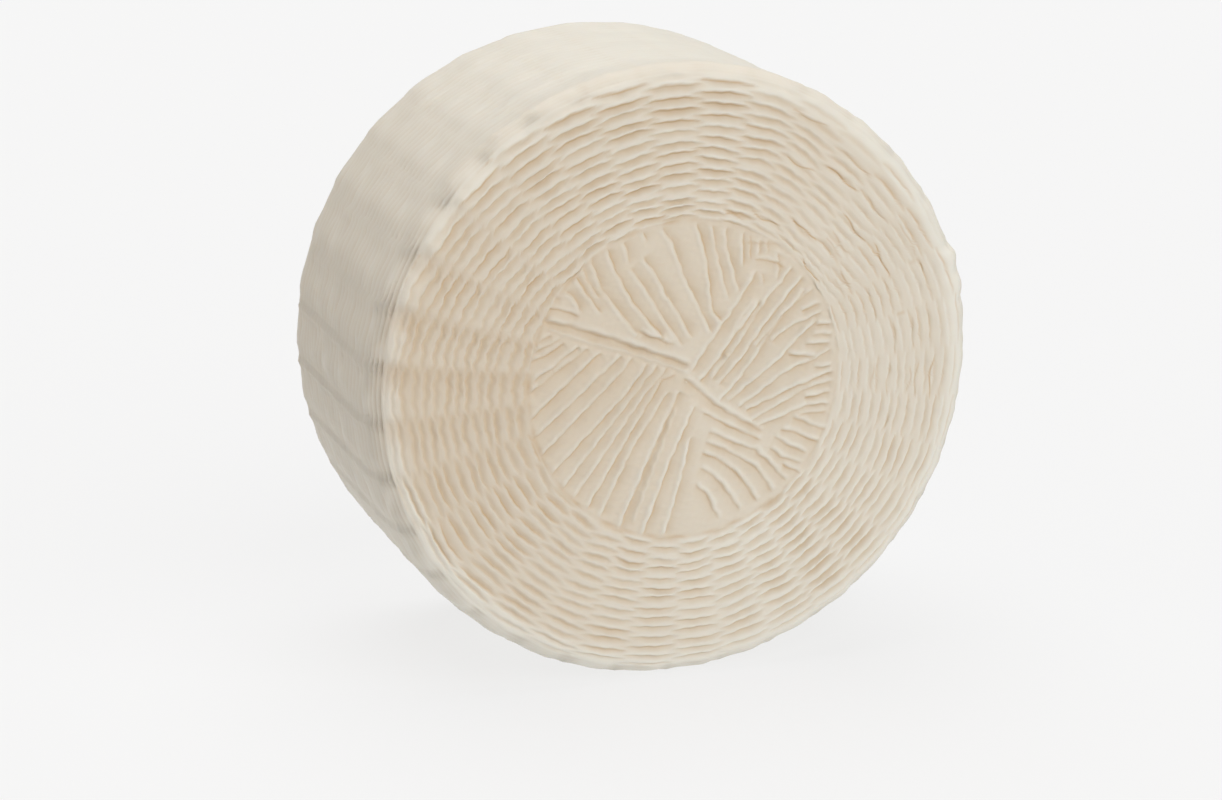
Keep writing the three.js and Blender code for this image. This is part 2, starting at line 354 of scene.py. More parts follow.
def groove(angle, crisp, column, across, spot):
    """How hollow the skin is from one column's grooves at a spot counted in rows: all at a groove's
    foot, which lies up to an eighth of a row towards the crisp wall, and 0 beyond its walls. It is
    narrower where it is shallow. Also the groove's slot, its share of depth, and the rows from its
    foot."""
    shifted = spot - 0.5 * (column % 2)
    row = np.floor(shifted + 0.5).astype(int)
    slot = np.clip(row + 1, 0, ROWS + 3)
    from_foot = shifted - row - brick_offset(angle, column, slot, across, 0) - crisp / 8
    share = depth_along(angle, column, slot, across)
    narrowing = (0.55 + 0.45 * share) * (1 - 0.48 * near(angle, *NARROW))
    nearer = np.where(crisp > 0, CRISP_WALL, GENTLE_WALL) * crisp
    further = np.where(crisp > 0, GENTLE_WALL, CRISP_WALL) * crisp
    outside = fall(from_foot, (HALF_GROOVE - nearer) * narrowing)
    inside = fall(-from_foot, (HALF_GROOVE + further) * narrowing)
    return np.where(from_foot > 0, outside, inside) * share, slot, share, from_foot


def strand_offset(angle, column, across, position, inside):
    """How far a ring follows its strand outwards, in rows: its brick's offset, mixed with that of the
    next brick by how near that one is. It is level between columns and at the woven part's edges."""
    half = 0.5 * (column % 2)
    row = np.floor(position - half + 0.5).astype(int)
    phase = position - half - row
    slot = row + 1
    following = slot + np.where(phase < 0, -1, 1)
    mix = np.abs(phase)
    worn = near(angle, *WORN)
    offset = (1 - mix) * brick_offset(angle, column, slot, across, worn)
    offset += mix * brick_offset(angle, column, following, across, worn)
    return offset * (inside * rise(-0.6, 1.2, position) * rise(-0.4, 1.2, ROWS - position))


def woven_ring(position, sides):
    """One ring of the woven part, at a position in rows. Bricks of odd columns lie half a row further
    out. The ring follows its strand inside a column and crosses level to the next. Grooves of the
    columns beside it reach in with their tips, and where none does the skin lies a little low. A crest
    stands beyond each crisp wall, and some grooves are torn at the foot. Its tan is the face's own tone
    with painted shade in the hollows, more in deeper ones, less a painted highlight on the crests."""
    angle = ring_angles(sides)
    column, across = columns_of(angle)
    crisp = crispness(angle)
    on_left = near(angle, *LEFT_LEAN)
    inside = rise(-0.02, 0.2, from_stake(across))

    spot = position + strand_offset(angle, column, across, position, inside)
    wander = 0.08 * waves(angle * 14, position, 5.0, SEED + 1)
    slip = around(angle, ROW_SLIP) * rise(-0.6, 2.5, position) * rise(-0.4, 2.0, ROWS - position)
    run = RING_INNER + ROW_PITCH * (spot + wander + slip)

    hollow, slot, share, from_foot = groove(angle, crisp, column, across, spot)
    before, _, before_share, _ = groove(angle, crisp, (column - 1) % COLUMNS, across + 1, spot)
    after, _, after_share, _ = groove(angle, crisp, (column + 1) % COLUMNS, across - 1, spot)
    gap = 1 - np.minimum(share + before_share + after_share, 1)
    hollow = np.maximum(np.maximum(hollow, GAP_HOLLOW * gap), np.maximum(before, after))
    depth = 1 + (BRICKS["depth"][column, slot] - 1) * inside
    depth *= GROOVE_DEPTH * around(angle, ROW_DEPTH)
    depth *= 1 - rise(FRONT_FLAT + 2.5 - 2.5 * on_left, FRONT_FLAT + 6.5, run)
    depth *= 1 - near(angle, *LATE_START) * (1 - rise(0.2, 1.2, position))

    crest = bell(from_foot - CREST_AT + CRISP_WALL * crisp, CREST_WIDTH) * np.maximum(crisp, 0)
    crest += bell(from_foot + CREST_AT + CRISP_WALL * crisp, CREST_WIDTH) * np.maximum(-crisp, 0)
    crest *= share * (1 - rise(FRONT_FLAT, FRONT_FLAT + 6, run))
    # Painted shade: a dark torn line along each groove's foot, strongest where its wall is crisp.
    tear_and_shade = bell(from_foot - 0.04 * crisp, TEAR_WIDTH) * np.maximum(np.abs(crisp), near(angle, *WORN))
    tear_and_shade *= share
    tear_and_shade *= rise(0.2, 0.9, BRICKS["torn"][column, slot]) * (1 - near(angle, *UNTORN))
    tear_and_shade *= 1 - 0.3 * near(angle, *LESS_TORN_RIGHT) - 0.5 * near(angle, *LESS_TORN_LEFT)

    leaning = on_left * (saw(across) - 0.45) * (0.25 + 0.45 * rise(75, FRONT_FLAT, run))
    height = swell(angle, run) - depth * hollow + CREST_SHARE * depth * crest + leaning
    height -= TEAR_DEPTH * tear_and_shade
    height += 0.10 * waves(run * np.cos(angle), run * np.sin(angle), 7.0, SEED + 2)
    on_face = 1 - rise(FRONT_FLAT - 2, FRONT_FLAT + 5, run)
    # Painted shade: tan in the hollows, more where deeper; paler crests are a painted highlight.
    tan = around(angle, BASE_TAN) * on_face
    tan += (0.84 - 0.2 * (1 - on_face)) * hollow ** 0.85 * depth / GROOVE_DEPTH
    return angle, run, height, np.maximum(tan - 0.42 * crest, 0), tear_and_shade


# Cracks where the curd tore: degrees from and to, run at the ends, depth, and sag in the middle.
CRACKS = [
    (23, 34.5, 76.4, 0.7, 0.3), (34.5, 46, 74.4, 0.6, 0.8), (46, 57, 82.4, 0.7, 0.4),
    (45, 57, 62.8, 0.7, 1.3), (24, 34, 63, 0.5, 1.2), (14, 24, 68.2, 0.5, 0.6),
    (352, 363, 88, 0.7, 1), (352, 362, 82.3, 0.4, 0.7), (352, 362, 71.8, 0.4, 0.5),
    (3, 13, 73.9, 0.35, 0.3), (34, 45.5, 55.2, 0.7, 1.9), (58, 70, 58.6, 0.5, 1.2),
    (20.5, 25, 88, 0.6, 0.3), (57.5, 67, 78.6, 0.5, 0.9), (46, 56, 88.9, 0.4, 0.4),
    (35, 45, 68, 0.4, 1), (36, 45, 65, 0.3, 0.5), (24, 33, 60, 0.2, 1),
    (25, 35, 87, 0.3, -0.4), (15, 20, 74.4, 0.4, 0.6), (20, 25, 74.7, 0.35, 0.3),
    (4, 13, 80.6, 0.3, 0.4), (352, 361, 92, 0.35, 0.8), (353, 361, 79, 0.35, -0.5),
    (343, 348, 74.6, 0.4, 0.5), (348, 352, 81, 0.35, 1.3), (60, 70, 92.6, 0.4, 0.3),
    (36, 45, 83.6, 0.3, 0.4), (353, 362, 66.2, 0.3, 0.8), (71, 79, 55, 0.4, -0.7),
]
CRACK_FADE = 1.8            # degrees over which a crack fades out at its ends
CRACK_WIDTH = 0.22
CRACK_PULL = 0.55           # share of the way that points at a crack are drawn in to its line
CRACK_PULL_REACH = 0.9
# Splits along the stakes: degrees, run from and to.
SPLITS = [(25.0, 84.5, 87.8), (14.2, 75.5, 78.0)]
SPLIT_WIDTH = 0.5
# Small lumps of curd on the face: degrees, run, radius and height.
LUMPS = [
    (335, 83.2, 1.3, 0.55), (317, 92.2, 1.2, 0.4), (321.5, 89.2, 0.9, 0.4), (64.5, 82.3, 1.1, 0.5),
    (61.5, 81.2, 1.0, 0.45), (66.5, 80.9, 0.9, 0.4), (98.2, 71.6, 0.8, 0.3), (107, 72.2, 0.7, 0.3),
    (13, 77.5, 0.8, 0.3), (86, 63.4, 0.8, 0.3), (28, 69.3, 0.8, 0.3), (110, 79.6, 0.9, 0.35),
]


def aside_of(angle, degrees, run):
    """Millimetres round the face from an angle in degrees."""
    return run * np.radians((np.degrees(angle) - degrees + 180) % 360 - 180)


def crack(angle, run, height, tear_and_shade):
    """Draws points in to each crack's line, deepens them there as a narrow bell, and marks them torn,
    browner with painted shade in the crack. Marks the splits torn too, and adds the lumps as bells."""
    for number, (from_deg, to_deg, crack_run, depth, sag) in enumerate(CRACKS):
        along = (np.degrees(angle) - from_deg) % 360
        length = to_deg - from_deg
        window = rise(0, CRACK_FADE, along) * rise(0, CRACK_FADE, length - along)
        wander = 0.35 * np.sin(along * 0.8 + number)
        wander -= sag * np.sin(math.pi * np.clip(along / length, 0, 1))
        away = run - crack_run - wander
        run = run - CRACK_PULL * away * bell(away, CRACK_PULL_REACH) * window
        line = bell(run - crack_run - wander, CRACK_WIDTH) * window
        height = height - 0.3 * depth * line
        tear_and_shade = np.maximum(tear_and_shade, 1.6 * depth * line)
    for degrees, first_run, last_run in SPLITS:
        window = rise(-1.0, 0.5, run - first_run) * rise(-1.0, 0.5, last_run - run)
        tear_and_shade = np.maximum(tear_and_shade, 0.4 * bell(aside_of(angle, degrees, run), SPLIT_WIDTH) * window)
    for degrees, lump_run, radius, lump in LUMPS:
        away_squared = np.square(aside_of(angle, degrees, run)) + np.square(run - lump_run)
        height = height + lump * np.exp(-away_squared / radius ** 2)
    return run, height, tear_and_shade


# --- plaited disc ---

# Grooves that the mould's plaited rushes leave in the disc: points from the wheel's axis, and a width.
LEFT_SPOKE = [
    ([(-46.3, 23.6), (-38.5, 21.7), (-25, 17), (-10.3, 11.4), (2, 6.6)], 2.7),
    ([(-46.5, 28.4), (-42.5, 27.6), (-35, 25)], 0.8),
    ([(-16.5, 20), (-14, 18.2), (-9.5, 16.2), (-3, 13.6)], 0.9),
]
RIGHT_SPOKE = [
    ([(3.2, 4.6), (8.8, 13.2), (14.4, 20.8), (19.6, 28.4), (24.4, 36.8)], 1.5),
    ([(5.5, 1), (10, 5.2), (16.8, 14.8), (23.6, 23.2), (26, 27.5)], 1.3),
]
LOW_SPOKE = [
    ([(0, 2.5), (4.9, -1.2), (9, -5.3), (15, -9.6), (20, -12.6), (25, -15.5), (28.5, -17.6)], 2.2),
    ([(7, -9.2), (16, -14.4), (22, -17.5), (28, -20.2)], 0.9),
]
TOP_GROOVES = [
    ([(-43.6, 31.3), (-40.5, 30.4)], 1),
    ([(-39.7, 33.7), (-37, 31.7), (-33.9, 26.3)], 1.4),
    ([(-36.3, 37.6), (-33, 32.8), (-27.5, 25.6)], 1.1),
    ([(-34.2, 40.5), (-31.4, 34.6), (-28, 30)], 0.8),
    ([(-31.6, 44.9), (-31, 42.3), (-27.7, 33.7), (-20.4, 24.4), (-15.6, 18.8), (-5, 14.6)], 1.2),
    ([(-26.2, 46.2), (-23.1, 38.7), (-17.7, 29.4), (-11.1, 21.3), (-6.4, 16.3)], 1.1),
    ([(-20.9, 48.5), (-19.2, 44.5), (-18.8, 40.5)], 1.2),
    ([(-18.6, 40), (-13.4, 33.3), (-7.6, 24), (0, 13.4)], 1),
    ([(-14.6, 51), (-13, 47.6)], 0.7),
    ([(-14.2, 43), (-10.1, 37.9), (-7.2, 32.3), (-2, 24.5), (3, 16)], 1),
    ([(-8.4, 52.3), (-5.3, 48.2), (-3.6, 44.9), (0, 35.6), (4, 28.4), (9.6, 17.2)], 1.1),
    ([(3.2, 53), (5, 49), (7.2, 40.4), (9.6, 24.4), (13.2, 20.6)], 0.9),
    ([(8.4, 52.3), (9.5, 47), (12.5, 36), (15, 28)], 0.6),
    ([(13.2, 51.2), (13.8, 45.2), (16, 39), (18.6, 30)], 1.1),
    ([(19, 49.5), (19.5, 38)], 0.8),
    ([(24.6, 47), (24.8, 41)], 0.6),
    ([(27.5, 47), (27.8, 41.5)], 0.45),
    ([(21.6, 48.5), (21.9, 40)], 0.4),
    ([(31, 42.5), (32, 37), (31, 33)], 0.45),
    ([(20, 46.2), (31, 45.4)], 0.4),
    ([(23, 40.5), (28, 40), (34, 37.5)], 0.4),
    ([(26, 36), (27, 31.5)], 0.4),
]
RIGHT_GROOVES = [
    ([(10, 1.5), (18.4, 12), (24, 20.8), (29.6, 29.2), (33, 32.5), (36.5, 37.8)], 1),
    ([(12.4, -0.5), (20.8, 8.8), (27.2, 18), (36, 29.2), (40.5, 34.3)], 1.3),
    ([(12.3, -6), (16.8, -2.3), (24, 6.6), (31.2, 18), (41.5, 30.2)], 1.1),
    ([(24.8, 11.5), (33, 21.6), (44, 30)], 0.8),
    ([(40, 22.4), (46.8, 25.2)], 1.2),
    ([(15.7, -6.4), (21, -2.7), (26.2, 1.4), (34, 7.4), (38, 12), (46, 19.6)], 1.3),
    ([(30, 13), (37.5, 18.2), (47.5, 22)], 0.9),
    ([(45.2, 18), (51.4, 17.8)], 0.9),
    ([(44, 14.6), (51.4, 14.4)], 0.8),
    ([(41.6, 11.7), (47.6, 11.3), (51.2, 11.6)], 1),
    ([(35.8, 8.4), (40, 7.6), (46.4, 7.2)], 1),
    ([(19.5, -8.6), (26.2, -4.5), (33.7, 1.1), (40, 4.4), (46, 6), (51.4, 9.4)], 1.3),
    ([(45, 3.4), (52, 3.6)], 0.9),
    ([(22.1, -10.1), (31.8, -6), (42.6, -1.5), (52.6, 1.8)], 1.3),
    ([(23.9, -13.5), (32.5, -9.4), (41.9, -4.2), (53, -1.4)], 1.3),
    ([(26.2, -15.4), (34.8, -12.7), (43, -9.6), (52, -9.2)], 1.1),
    ([(42.4, -6.8), (48.6, -6), (52.2, -5.5)], 1.5),
]
LOW_GROOVES = [
    ([(40, -12.4), (46, -12.2), (51.6, -11.8)], 0.9),
    ([(38.5, -13), (42.3, -14.8), (47.9, -17.6), (51.8, -17.9)], 1.5),
    ([(34.5, -16.8), (40, -18.5), (44, -20.8), (49, -22.4)], 1.2),
    ([(32, -19.2), (36.7, -22.4), (40, -24), (44.6, -26.2)], 1.4),
    ([(31, -23), (35, -26.5), (39, -28), (42.8, -29.4)], 1.3),
    ([(35.5, -29.3), (39, -31), (42.8, -32.9)], 1.2),
    ([(9, -15.8), (12, -17.2), (19, -21), (25.5, -23.4), (30, -27.5), (34, -31.8), (37.5, -35.2)],
     1.5),
    ([(8, -19.5), (14.5, -22.2), (20, -25.6), (26, -29.3), (29, -33.5), (32.5, -38.6)], 1.4),
    ([(7, -23), (12, -25.2), (18, -29.5), (22.5, -34.5), (27, -41.5)], 1.2),
    ([(6.5, -28), (11, -31), (16, -36.5), (21, -44)], 1.3),
    ([(5, -33.5), (9.5, -38), (13.5, -46.5)], 1.1),
]
LEFT_GROOVES = [
    ([(-44, 19.2), (-46.7, 18.4), (-49, 16.6)], 0.9),
    ([(-40.8, 18.3), (-46, 15.6), (-50, 13.9)], 1),
    ([(-39.8, 16.8), (-41.8, 15.2), (-46.7, 12.5), (-52, 11)], 1.3),
    ([(-34.9, 15.2), (-38.8, 12.5), (-44.1, 8.3), (-50.5, 4.6)], 1.3),
    ([(-31.9, 14.5), (-36.9, 10.9), (-42.8, 6.9), (-51.5, 0.5)], 1.3),
    ([(-27.3, 12.6), (-30.9, 10.2), (-34.9, 6.6), (-39.5, 2.3), (-51, -8)], 1.3),
    ([(-21, 11.6), (-23.7, 8.2), (-27.6, 5.3), (-32.2, 1), (-50, -14.5)], 1.2),
    ([(-16.8, 10.4), (-20.5, 6), (-25.7, 0.7), (-47.5, -20.5)], 1.3),
    ([(-12, 8.4), (-14.5, 4.2), (-18.5, -1), (-43.8, -26.5)], 1),
    ([(-8.5, 7.6), (-14.4, 0.3), (-40, -31.5)], 0.8),
    ([(-5, 6.6), (-11.8, -1), (-36.2, -35.3)], 0.9),
    ([(-2.5, 4.2), (-6.6, 2.5), (-9, -1), (-31.6, -39)], 1.1),
    ([(-4.5, -1.5), (-16, -19), (-27, -42)], 1.2),
]
# The plait's fourth spoke, hidden in the view and taken to lie where the others leave room.
FOURTH_SPOKE = [
    ([(-0.5, -1.5), (-8, -18), (-20.5, -47)], 2.2),
    ([(4.5, -7), (-3, -24), (-12.5, -50)], 1.1),
    ([(3.5, -17), (0.5, -32), (-5, -50.5)], 1.1),
]
# Ridges between wide grooves: points and height.
RIDGES = [
    ([(-46.3, 22.3), (-39.3, 19.4), (-30.8, 16.3), (-20.4, 13.2), (-8, 8.6), (2, 4.6)], 0.45),
    ([(12, 10.8), (15.2, 16), (20, 24), (24, 28.4)], 0.35),
    ([(6, -7.5), (10.1, -9.8), (16.1, -13.1), (27.7, -18.7)], 0.5),
    ([(-2, -6.5), (-6, -17), (-16.5, -45)], 0.4),
    ([(29, 43.5), (34, 41.5), (38.5, 38)], 0.3),
]
# The grooves at the lower right have their crisper wall on another side, and are fainter.
LOW_FACING = math.radians(85)
LOW_DEPTH = 0.55
LOW_CREST = 0.7
RUSH_GROOVES = [
    (points, width, FACING)
    for points, width in (
        LEFT_SPOKE + RIGHT_SPOKE + TOP_GROOVES + RIGHT_GROOVES + LEFT_GROOVES + FOURTH_SPOKE
    )
] + [(points, width, LOW_FACING) for points, width in LOW_SPOKE + LOW_GROOVES]
PULL_REACH = 1.5            # millimetres from a groove's line within which points are drawn in to it


def groove_field(x, z, points, facing_angle):
    """For points, the distance across the nearest part of a bent line and the distance along it, the
    line's length, and the way from the line in x and z. The distance across is positive on the side
    that faces away from the crisper walls."""
    ends = np.array(points, float)
    starts, spans = ends[:-1], np.diff(ends, axis=0)
    lengths = np.hypot(*spans.T)
    before = np.concatenate([[0], np.cumsum(lengths)[:-1]])
    to_x = x[:, None] - starts[:, 0]
    to_z = z[:, None] - starts[:, 1]
    part = np.clip((to_x * spans[:, 0] + to_z * spans[:, 1]) / np.square(lengths), 0, 1)
    off_x = to_x - part * spans[:, 0]
    off_z = to_z - part * spans[:, 1]
    away = np.hypot(off_x, off_z)
    pick = np.argmin(away, axis=1)
    rows = np.arange(len(x))
    facing = -(off_x * math.cos(facing_angle) + off_z * math.sin(facing_angle))[rows, pick]
    across = away[rows, pick] * np.where(facing < 0, -1, 1)
    along = (before + part * lengths)[rows, pick]
    return across, along, lengths.sum(), off_x[rows, pick], off_z[rows, pick]


def wandering(x, z):
    """Points shifted a little and unevenly, which makes the grooves laid out on them wander."""
    shift_x, shift_z = (0.16 * waves(x, z, 5.0, SEED + number) for number in (5, 6))
    return x + shift_x, z + shift_z


def draw_in(x, z):
    """Draws points in to the line of the nearest groove: half the way close by, and evenly less up to
    PULL_REACH."""
    seen_x, seen_z = wandering(x, z)
    nearest = np.full(len(x), PULL_REACH)
    pull_x = pull_z = np.zeros(len(x))
    for points, _, facing in RUSH_GROOVES:
        across, _, _, off_x, off_z = groove_field(seen_x, seen_z, points, facing)
        closer = np.abs(across) < nearest
        nearest = np.where(closer, np.abs(across), nearest)
        pull_x = np.where(closer, off_x, pull_x)
        pull_z = np.where(closer, off_z, pull_z)
    pull = 0.5 * np.clip(1 - nearest / PULL_REACH, 0, 1)
    return x - pull * pull_x, z - pull * pull_z


def rush_relief(x, z):
    """Height of the plaited disc's relief, how tan it is, and its torn lines. The tan is painted shade
    in the grooves, less a painted highlight on the ridges, and the torn lines are painted shade along
    each groove's foot. Each groove has a crisp wall on one side with a ridge beyond it, both bells, and
    rises gently on the other. Wider grooves are deeper, those at the lower right fainter, and every
    third is torn more. The listed ridges stand between grooves."""
    seen_x, seen_z = wandering(x, z)
    cut = ridge = hollow = tear_and_shade = np.zeros(len(x))
    low_left = rise(-4, -16, x) * rise(22, 12, z)
    bold = 0.45 + 0.42 * rise(-10, 20, x - 0.5 * z) + 0.3 * low_left
    for number, (points, width, facing) in enumerate(RUSH_GROOVES):
        across, along, length, _, _ = groove_field(seen_x, seen_z, points, facing)
        ends = rise(-0.3, 1.0, along) * rise(-0.3, 2.2, length - along)
        ends *= 0.82 + 0.18 * np.sin(along * 0.45 + 1.9 * number)
        gentle = np.exp(-np.power(np.abs(across) / (1.2 + 0.7 * width), 1.25))
        deep = np.where(across < 0, bell(across, 0.4 * width ** 0.7), gentle)
        slightness = min(1.0, 1.3 * width)
        depth = (0.45 + 0.27 * width) * slightness * (1 if facing == FACING else LOW_DEPTH)
        cut = np.maximum(cut, depth * (1 + 0.3 * low_left) * deep * ends)
        crest = bell(across + 0.9 + 0.28 * width, 0.66 + 0.1 * width)
        crest *= 1 if facing == FACING else LOW_CREST
        ridge = np.maximum(ridge, bold * slightness * crest * ends)
        hollow = np.maximum(hollow, deep * ends * (0.7 + 0.1 * width))
        # Painted shade: a dark torn line along each groove's foot.
        tear_and_shade = np.maximum(tear_and_shade, bell(across + 0.05, 0.28) * ends * (0.4 + 0.35 * (number % 3 == 1)))
    for points, tall in RIDGES:
        across, along, length, _, _ = groove_field(seen_x, seen_z, points, FACING)
        ends = rise(-0.3, 2.0, along) * rise(-0.3, 2.0, length - along)
        crest = bell(across, 0.65) * ends
        cut = cut * (1 - 0.6 * crest)
        ridge = np.maximum(ridge, tall * crest)
    height = ridge * (1 - rise(0.1, 0.8, cut)) - cut
    # Painted shade in the grooves and a painted highlight on the ridges, over the disc's tone.
    tan = DISC_TAN + 0.1 * rise(0, 35, z) + 0.6 * hollow - 0.75 * ridge
    return height, np.clip(tan, 0, 1), tear_and_shade


def disc_ring(radius, sides):
    """One ring of the plaited disc, its grooves cut below the disc's level, with a torn line round the
    edge and the small drop as part of a sphere."""
    angle = ring_angles(sides)
    x, z = draw_in(WEAVE_CENTRE[0] + radius * np.cos(angle), WEAVE_CENTRE[1] + radius * np.sin(angle))
    relief, hollow, tear_and_shade = rush_relief(x, z)
    level = DISC_LEVEL + (0.35 + swell(angle, radius)) * near(angle, *RAISED) * rise(20, 50, radius)
    height = level + relief + 0.12 * waves(x, z, 9.0, SEED + 7) + 0.07 * waves(x, z, 2.2, SEED + 8)
    drop = PIMPLE_RADIUS ** 2 - np.square(x - PIMPLE[0]) - np.square(z - PIMPLE[1])
    ball = DISC_LEVEL + np.sqrt(np.maximum(drop, 0))
    height = np.where(drop > 0, np.maximum(height, ball), height)
    column, across = columns_of(angle)
    toothed = 1 - 0.8 * (column % 2) * np.sin(np.pi * across)
    at_edge = rise(DISC_RADIUS - DISC_EDGE, DISC_RADIUS, radius) * toothed
    uneven = 0.75 + 0.45 * waves(angle * 50, radius, 9, SEED + 9)
    at_edge *= uneven * (1 - 0.9 * near(angle, *WHOLE_EDGE))
    height -= 0.35 * at_edge
    x -= WEAVE_CENTRE[0]
    z -= WEAVE_CENTRE[1]
    return np.arctan2(z, x), np.hypot(x, z), height, hollow, np.maximum(tear_and_shade, 0.5 * at_edge)


# --- corner and rim ---

def flute(angle, run):
    """Level across a column on the corner and rim: it climbs past the middle, falls off before the next
    stake, and lies low from there. On the left a scallop bulges at the corner too, with a notch at each
    stake."""
    _, across = columns_of(angle)
    climb = rise(0.17, 0.66, across) * (1 - rise(0.66, 0.88, across)) - 0.4
    strength = FLUTE_HEIGHT - 0.2 * near(angle, *FLUTES_LOW) + 0.14 * near(angle, *FLUTES_HIGH)
    grown = rise(FRONT_FLAT - 2, FRONT_FLAT + 8 + 16 * near(angle, *FLUTES_LATE), run)
    scallop = rise(0.1, 0.5, across) * rise(0, 0.25, 1 - across)
    scallop -= 0.15 * bell(from_stake(across), 0.12)
    bulge = SCALLOP_HEIGHT * near(angle, *SCALLOPED) * bell(run - FRONT_FLAT - 2.8, 3.3)
    return climb * strength * grown + bulge * scallop


def flake(angle, run):
    """Torn flake at the right of the front corner: two bumps side by side, with a sheer left end."""
    degrees = np.degrees(angle) % 360
    bumps = bell(degrees - 16.3, 2.2) + 0.8 * bell(degrees - 21.6, 2.0)
    window = rise(13.0, 14.0, degrees) * rise(0, 0.9, 24.4 - degrees)
    return FLAKE_HEIGHT * np.minimum(bumps, 1) * window * bell(run - FRONT_FLAT - 6.5, 5.0)


def rim_ring(run, sides, print_level):
    """One ring of the corner or rim. The basket's side prints rings, and the level says where on one
    this ring lies, from -1 to 1. They wander together and stand out most at the stakes and on the
    left. Their troughs are drawn tan as painted shade. The angle times a radius is the way round the
    rim."""
    angle = ring_angles(sides)
    at_stake = bell(from_stake(columns_of(angle)[1]), 0.10)
    on_rim = rise(FRONT_FLAT + 3, FRONT_FLAT + 7, run) * rise(0, 6, RIM_END + 2 - run)
    wander = 1.3 * np.sin(2 * angle + run / 60) + 0.6 * waves(angle * 100, run, 45, SEED + 11)
    run = run + wander * rise(FRONT_FLAT + 6, FRONT_FLAT + 18, run) * rise(0, 12, RIM_END - 1 - run)
    strength = 1 - 0.6 * near(angle, *PRINT_FAINT) + 1.7 * near(angle, *PRINT_STRONG)
    strength *= 0.8 + 0.4 * waves(angle * 100, run, 12, SEED + 12) + 1.5 * at_stake
    height = swell(angle, run) + flute(angle, run) + flake(angle, run)
    height += on_rim * print_level * RIM_RING_HEIGHT * np.maximum(strength, 0)
    uneven = 0.1 * waves(angle * 105, run, 14, SEED + 13)
    uneven += 0.06 * waves(angle * 105, run, 5, SEED + 14)
    # Painted shade: tan in the troughs between printed rings, more on the left.
    between = (0.09 + 0.05 * near(angle, *PRINT_SHADE)) * on_rim * (1 - print_level)
    tan = between * np.clip(strength, 0, 1.6)
    return angle, run, height + uneven, np.clip(tan, 0, 1), np.zeros(sides)


# --- back ---

def back_ring(half_rows, sides):
    """One ring of the back's woven part, counted in half rows from its disc outwards: grooves and ridges
    alternate from ring to ring and from column to column."""
    angle = ring_angles(sides)
    column, across = columns_of(angle)
    radius = BACK_DISC_RADIUS + half_rows * ROW_PITCH / 2
    slot = np.full(sides, (half_rows // 2) % ROWS)
    offset = 0.6 * ROW_PITCH * brick_offset(angle, column, slot, across, 0.2)
    share = rise(-0.05, 0.14, across) * rise(-0.05, 0.14, 1 - across)
    is_groove = (column + half_rows) % 2 == 0
    hollow = np.where(is_groove, share, 0.3 * (1 - share)) * BRICKS["depth"][column, slot]
    depth = BACK_DEPTH * rise(0, 8, BACK_FLAT + 2 - radius)
    run = BACK_START + BACK_FLAT - radius - offset * rise(0, 3, BACK_FLAT - radius)
    # Painted shade: tan in the back's grooves.
    tan = (0.14 + 0.7 * hollow) * rise(0, 12, BACK_FLAT + 1 - radius)
    return angle, run, swell(angle, run) - depth * hollow, tan, np.zeros(sides)


def back_disc_ring(radius, sides):
    """One ring of the back's plaited disc: four sectors of cosine ridges, each turned a quarter."""
    angle = ring_angles(sides)
    x = radius * np.cos(angle)
    z = radius * np.sin(angle)
    quarter = np.floor((angle / TURN * 4 + 0.15) % 4)
    heading = quarter * math.pi / 2 + 0.35
    lateral = -x * np.sin(heading) + z * np.cos(heading) + 0.5 * waves(x, z, 12, SEED + 21)
    wave = 0.5 - 0.5 * np.cos(TURN * lateral / BACK_RUSH_PITCH)
    fade = rise(2, 9, radius)
    height = BACK_DISC_LEVEL - BACK_RUSH_DEPTH * fade * wave
    run = np.full(sides, BACK_START + BACK_FLAT - radius)
    # Painted shade: tan in the troughs between the back disc's ridges.
    return angle, run, height, 0.2 + 0.6 * fade * wave, np.zeros(sides)


# --- assembly ---

DISC_RINGS = round(DISC_RADIUS / DISC_STEP)
FEWEST_SIDES = 8
INNER_SIDES = COLUMNS * 10
OUTER_SIDES = COLUMNS * 14
OUTER_FROM_ROW = 5
CORNER_SIDES = COLUMNS * 12
RIM_SIDES = COLUMNS * 8
BACK_SIDES = COLUMNS * 7
CORNER_STEP = 0.78
BACK_CORNER_STEP = 1.8
BACK_DISC_STEP = 2.0


def front_rings():
    """Rings of the disc and of the woven part, from the middle out."""
    rings = []
    for number in range(1, DISC_RINGS + 1):
        radius = DISC_RADIUS * number / DISC_RINGS
        sides = 2 * round(math.pi * radius / DISC_POINT_STEP)
        rings.append(disc_ring(radius, max(FEWEST_SIDES, sides)))
    for number in range(ROWS * RINGS_PER_ROW + 1):
        position = number / RINGS_PER_ROW
        sides = INNER_SIDES if position < OUTER_FROM_ROW else OUTER_SIDES
        angle, run, height, hollow, tear_and_shade = woven_ring(position, sides)
        run, height, tear_and_shade = crack(angle, run, height, tear_and_shade)
        height = height + flute(angle, run) + flake(angle, run)
        rings.append((angle, run, height, hollow, tear_and_shade))
    return rings


